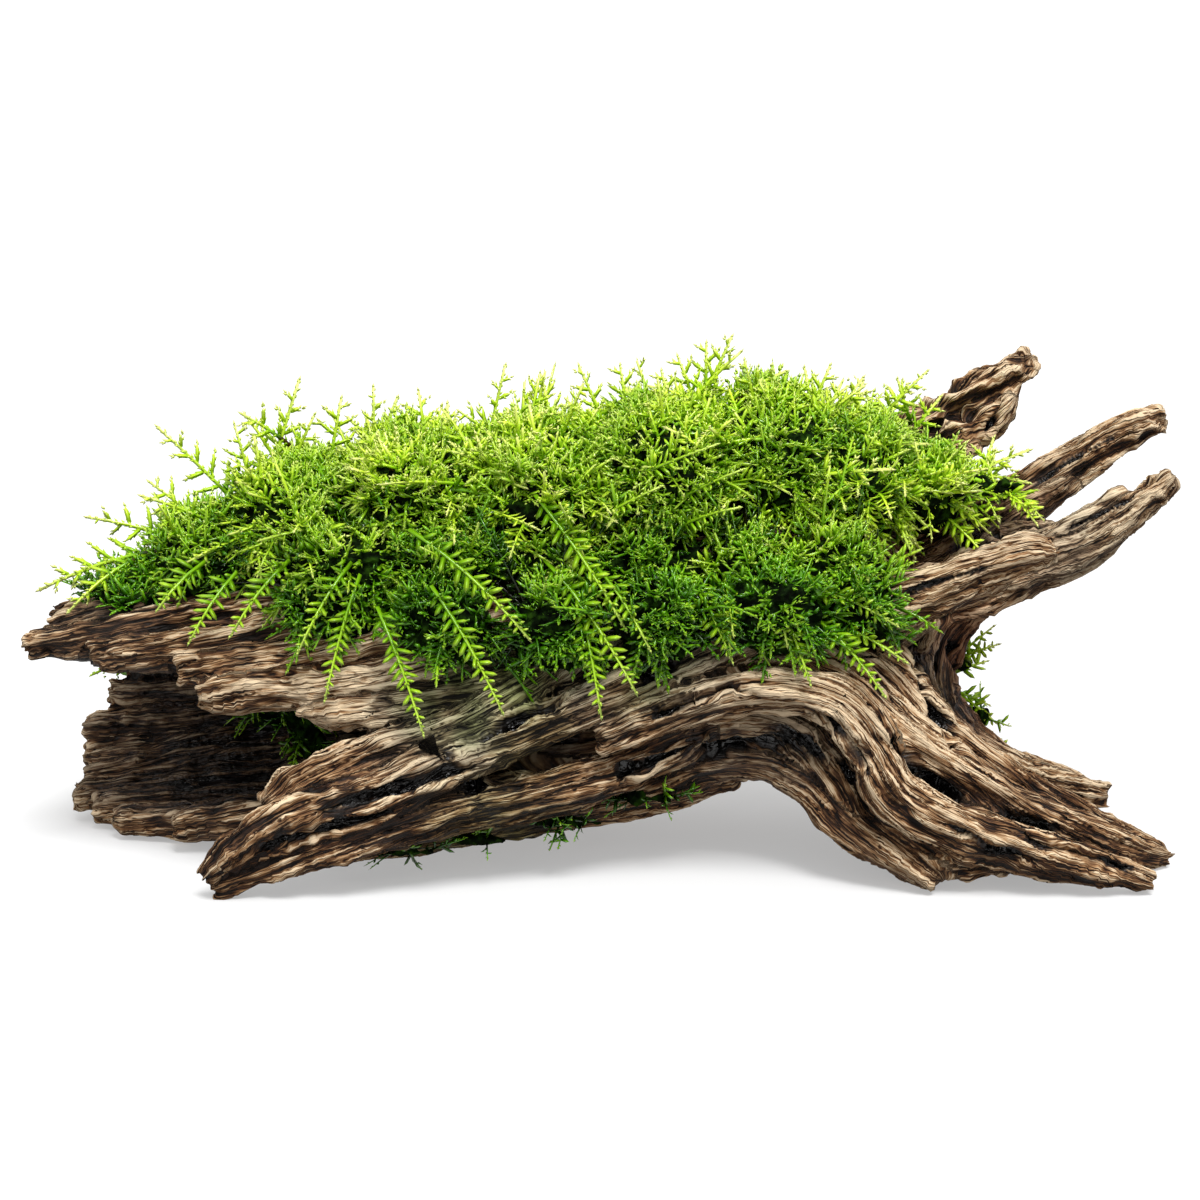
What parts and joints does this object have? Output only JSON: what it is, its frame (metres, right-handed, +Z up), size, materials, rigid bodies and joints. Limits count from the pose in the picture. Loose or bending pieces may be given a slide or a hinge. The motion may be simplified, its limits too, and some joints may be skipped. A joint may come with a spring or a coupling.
{
  "type": "moss on driftwood",
  "caption": "Hollow piece of driftwood with roots and branches, grown over with a thick cushion of feathery aquarium moss, for a planted tank.",
  "frame": {"origin": "middle of the outline, on the ground plane that the roots and the log stand on", "axes": "+X along the log, from its hollow end to the branches; +Y to the back; +Z up"},
  "size_m": [0.2855, 0.1074, 0.1213],
  "materials": {
    "driftwood": "weathered driftwood, dry and matt on the ridges, dark and wet in the grooves",
    "moss": "living moss, fine leaves with a slight wet sheen"
  },
  "bodies": {
    "root": {"trunk": "driftwood", "front_root": "driftwood", "arch_leg": "driftwood", "back_root": "driftwood", "branch_front": "driftwood", "branch_middle": "driftwood", "branch_rear": "driftwood", "stub": "driftwood", "moss_cushion": "moss", "moss_hollow_tuft": "moss", "moss_belly_fringe": "moss", "moss_back_drape": "moss", "moss_column_tuft": "moss"}
  },
  "joints": []
}
